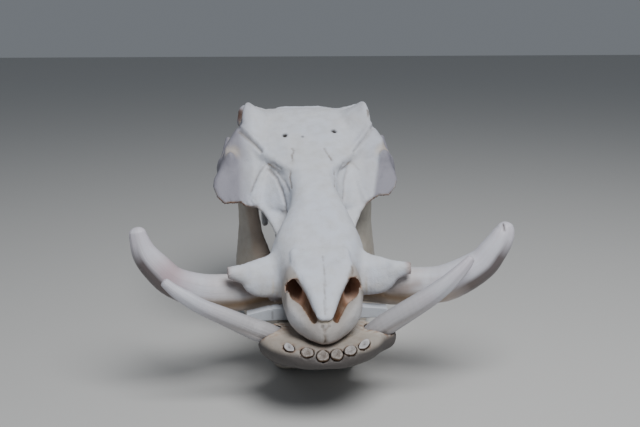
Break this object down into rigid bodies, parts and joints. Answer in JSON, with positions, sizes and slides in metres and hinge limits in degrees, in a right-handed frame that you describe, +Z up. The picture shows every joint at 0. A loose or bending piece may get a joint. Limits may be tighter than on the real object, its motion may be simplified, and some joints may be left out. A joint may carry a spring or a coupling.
{
  "type": "warthog skull",
  "caption": "Warthog skull with its lower jaw, long flat snout, wide cheeks, high eye sockets and curved tusks, for display or study.",
  "frame": {"origin": "on the table, under the middle of the skull's bounding box", "axes": "+Z up, the snout points along -Y, the skull's own left side is at +X"},
  "size_m": [0.3725, 0.3566, 0.2685],
  "materials": {
    "bone": "dry bleached bone, cool white, fine pores",
    "jaw_bone": "dry bone with a beige to brown tint",
    "ivory": "smooth ivory, cream and pink tints, brown in the grooves",
    "enamel": "worn tooth, satin",
    "strip": "plain matt white"
  },
  "bodies": {
    "root": {"cranium": "bone", "mandible": "jaw_bone", "upper_tusk_left": "ivory", "upper_tusk_right": "ivory", "lower_tusk_left": "ivory", "lower_tusk_right": "ivory", "lower_incisor_1": "enamel", "lower_incisor_2": "enamel", "lower_incisor_3": "enamel", "lower_incisor_4": "enamel", "lower_incisor_5": "enamel", "lower_incisor_6": "enamel", "upper_molar_2_left": "enamel", "upper_molar_2_right": "enamel", "upper_molar_3_left": "enamel", "upper_molar_3_right": "enamel", "lower_molar_2_left": "enamel", "lower_molar_2_right": "enamel", "lower_molar_3_left": "enamel", "lower_molar_3_right": "enamel", "spacer_strip": "strip"}
  },
  "joints": []
}
